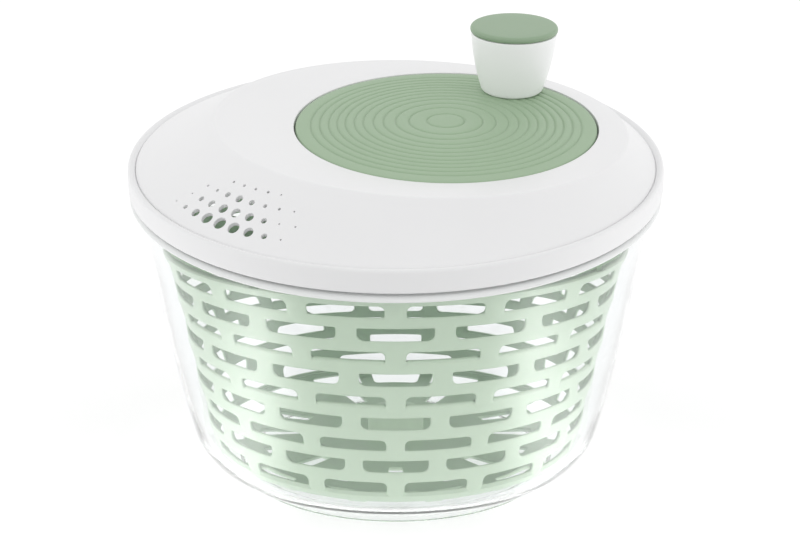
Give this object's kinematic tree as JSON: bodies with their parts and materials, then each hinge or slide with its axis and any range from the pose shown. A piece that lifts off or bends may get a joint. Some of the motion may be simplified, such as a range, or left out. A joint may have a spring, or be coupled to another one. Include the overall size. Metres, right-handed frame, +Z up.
{
  "type": "salad spinner",
  "caption": "Geared salad spinner: clear bowl, slotted lift-out basket, slanted white lid with off-centre crank disc, knob and drain holes.",
  "frame": {"origin": "centre of the bowl's foot, at the level it stands on", "axes": "+Z up along the bowl and basket axis; -Y toward the low front of the slanted lid; +X toward the side the crank disc is offset to"},
  "size_m": [0.26, 0.2542, 0.2241],
  "materials": {
    "clear_plastic": "clear moulded plastic, glossy",
    "mint_plastic": "translucent pale green moulded plastic",
    "white_plastic": "white moulded plastic, fine satin",
    "sage_plastic": "sage green moulded plastic, satin",
    "pom": "natural acetal, smooth",
    "steel": "stainless steel, turned"
  },
  "bodies": {
    "bowl": {"bowl": "clear_plastic"},
    "bush": {"basket_bush": "pom"},
    "basket": {"basket": "mint_plastic"},
    "lid": {"lid_rim": "white_plastic", "lid_top": "white_plastic", "crank_bush": "pom", "driver_carrier": "white_plastic", "carrier_screw_1": "steel", "carrier_screw_2": "steel", "carrier_screw_3": "steel", "pinion_washer": "steel"},
    "crank": {"crank_disc": "sage_plastic", "ring_gear": "pom", "ring_gear_screw_1": "steel", "ring_gear_screw_2": "steel", "ring_gear_screw_3": "steel", "crank_washer": "steel", "crank_screw": "steel", "knob_axle": "steel"},
    "knob": {"knob_body": "white_plastic", "knob_cap": "sage_plastic", "knob_washer": "steel"},
    "pinion": {"drive_pinion": "pom"},
    "driver": {"driver_disc": "sage_plastic", "driver_clip": "steel"}
  },
  "joints": [
    {"name": "basket_lift", "type": "slide", "parent": "bowl", "child": "bush", "axis": [0, 0, 1], "range_m": [0, 0.13]},
    {"name": "basket_spin", "type": "hinge", "parent": "bush", "child": "basket", "pos_m": [0, 0, 0.018], "axis": [0, 0, 1], "continuous": true},
    {"name": "lid_lift", "type": "slide", "parent": "bush", "child": "lid", "axis": [0, 0, 1], "range_m": [0, 0.16]},
    {"name": "crank_turn", "type": "hinge", "parent": "lid", "child": "crank", "pos_m": [0.0244, 0.00042, 0.15904], "axis": [0, -0.2113, 0.9774], "continuous": true},
    {"name": "knob_spin", "type": "hinge", "parent": "crank", "child": "knob", "pos_m": [0.0597, 0.03823, 0.19996], "axis": [0, -0.2113, 0.9774], "continuous": true},
    {"name": "pinion_turn", "type": "hinge", "parent": "lid", "child": "pinion", "pos_m": [0, -0.00329, 0.15824], "axis": [0, -0.2113, 0.9774], "continuous": true},
    {"name": "driver_spin", "type": "hinge", "parent": "lid", "child": "driver", "pos_m": [0, 0, 0.14], "axis": [0, 0, 1], "continuous": true}
  ],
  "couplings": [
    {"joint": "pinion_turn", "follows": "crank_turn", "ratio": 3.75},
    {"joint": "driver_spin", "follows": "crank_turn", "ratio": 3.75},
    {"joint": "basket_spin", "follows": "crank_turn", "ratio": 3.75}
  ]
}
